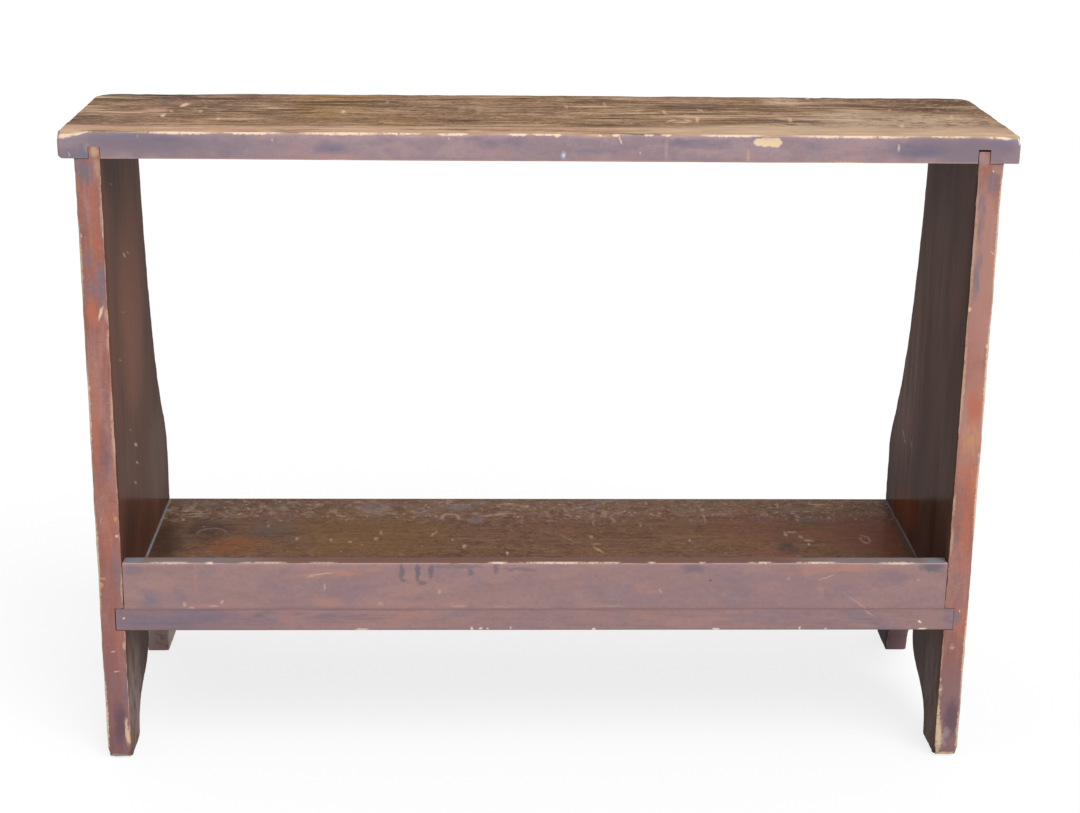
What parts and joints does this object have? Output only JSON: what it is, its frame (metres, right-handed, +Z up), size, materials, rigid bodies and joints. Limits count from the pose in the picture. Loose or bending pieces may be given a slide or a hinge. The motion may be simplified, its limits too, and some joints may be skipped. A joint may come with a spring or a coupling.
{
  "type": "bucket bench",
  "caption": "Rustic pine bucket bench: a narrow worn top on two shaped board ends, with a deep lower shelf behind a low front rail.",
  "frame": {"origin": "on the floor, at the middle of the bench's length and depth", "axes": "+X along the bench to the viewer's right, +Y from the front edge to the back, +Z up"},
  "size_m": [1.04, 0.37, 0.744],
  "materials": {
    "worn_top_pine": "varnish worn through to tan wood, matte",
    "stained_end_pine": "red-brown stain under old varnish, satin",
    "shelf_pine": "dark brown varnish, satin, scratched",
    "rail_pine": "brown stain, satin, worn edges",
    "nail_iron": "dark, lightly rusted"
  },
  "bodies": {
    "root": {"top_board": "worn_top_pine", "left_end_board": "stained_end_pine", "right_end_board": "stained_end_pine", "lower_shelf": "shelf_pine", "front_rail": "rail_pine", "top_nails_left": "nail_iron", "top_nails_right": "nail_iron", "shelf_nails_left": "nail_iron", "shelf_nails_right": "nail_iron", "rail_nails_left": "nail_iron", "rail_nails_right": "nail_iron", "rail_nails_below": "nail_iron"}
  },
  "joints": []
}
